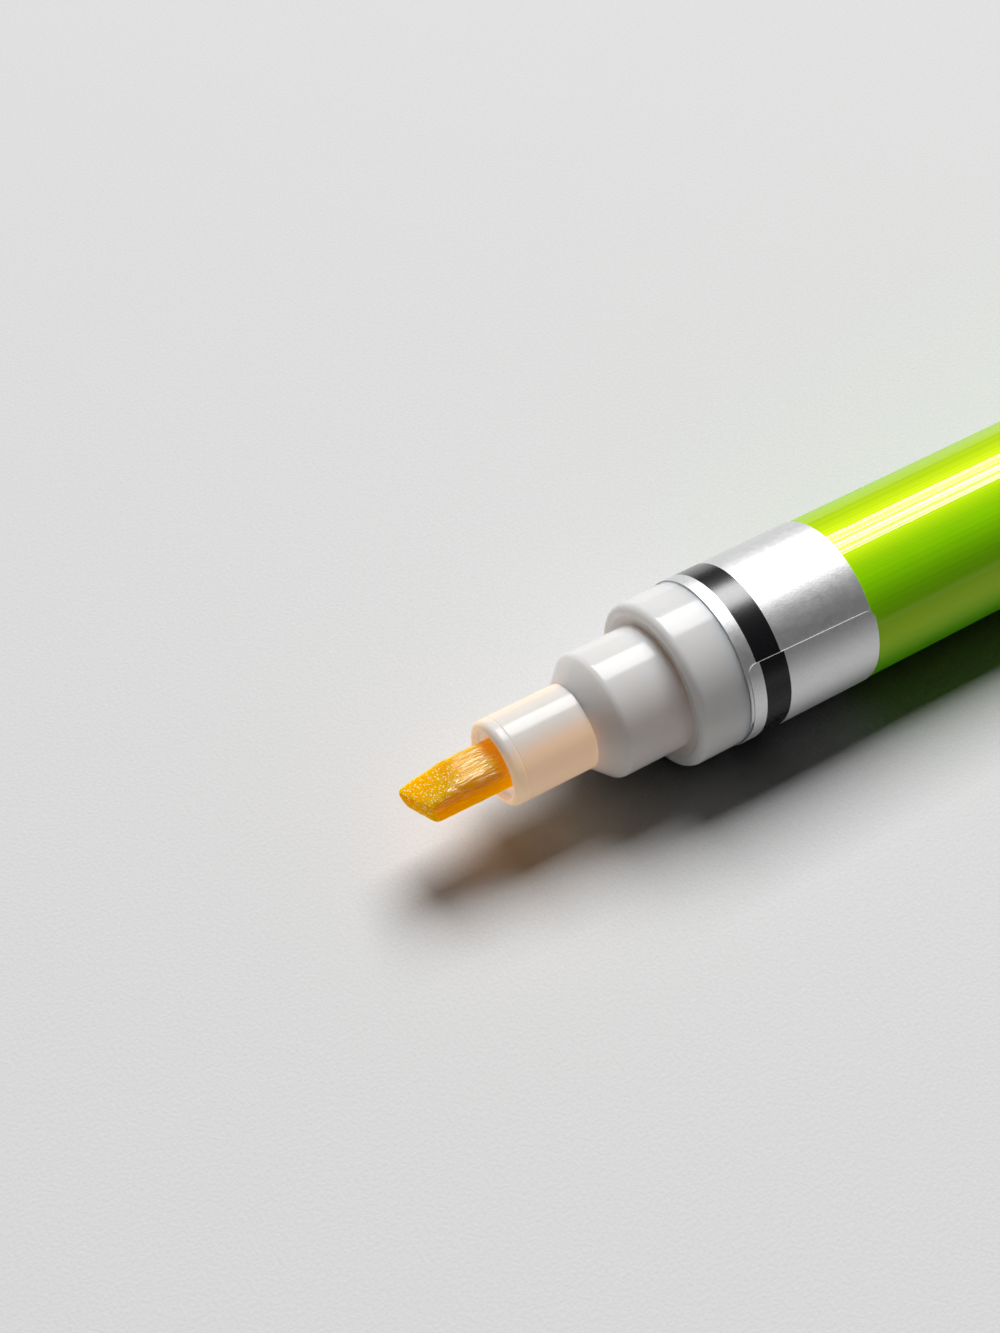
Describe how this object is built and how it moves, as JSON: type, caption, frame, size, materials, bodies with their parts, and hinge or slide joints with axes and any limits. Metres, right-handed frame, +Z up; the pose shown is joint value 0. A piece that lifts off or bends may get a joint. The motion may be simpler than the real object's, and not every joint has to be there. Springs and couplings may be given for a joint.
{
  "type": "paint remover marker",
  "caption": "Uncapped valve-action liquid marker: chisel fibre nib in a cup-mouthed collar, lipped neck, foil band and lacquered closed barrel; pressing the nib opens a sprung valve.",
  "frame": {"origin": "on the floor under the middle of the marker, which lies on its side", "axes": "+X runs along the axis from the nib to the tail, +Z is up, -Y is the side that the picture shows"},
  "size_m": [0.1378, 0.0161, 0.016],
  "materials": {
    "nib_fibre": "wet amber polyester fibre",
    "collar_plastic": "warm ivory moulding",
    "white_plastic": "satin white moulding",
    "seal_rubber": "matt rubber",
    "valve_plastic": "natural acetal",
    "spring_steel": "drawn stainless wire",
    "case_plastic": "natural polypropylene",
    "barrel_lacquer": "glossy green lacquer",
    "label_foil": "satin silver foil, black ring"
  },
  "bodies": {
    "housing": {"barrel": "barrel_lacquer", "band_label": "label_foil", "front_section": "white_plastic", "nib_collar": "collar_plastic", "valve_seal": "seal_rubber", "valve_case": "case_plastic", "valve_spring": "spring_steel"},
    "nib": {"nib": "nib_fibre"},
    "valve": {"valve_stem": "valve_plastic"}
  },
  "joints": [
    {"name": "nib_press", "type": "slide", "parent": "housing", "child": "nib", "axis": [1, 0, 0], "range_m": [0, 0.002]},
    {"name": "valve_lift", "type": "slide", "parent": "housing", "child": "valve", "axis": [1, 0, 0], "range_m": [0, 0.002], "stiffness_N_per_m": 600, "springref_m": -0.003, "deforming": ["valve_spring"]}
  ],
  "couplings": [
    {"joint": "valve_lift", "follows": "nib_press", "ratio": 1}
  ]
}
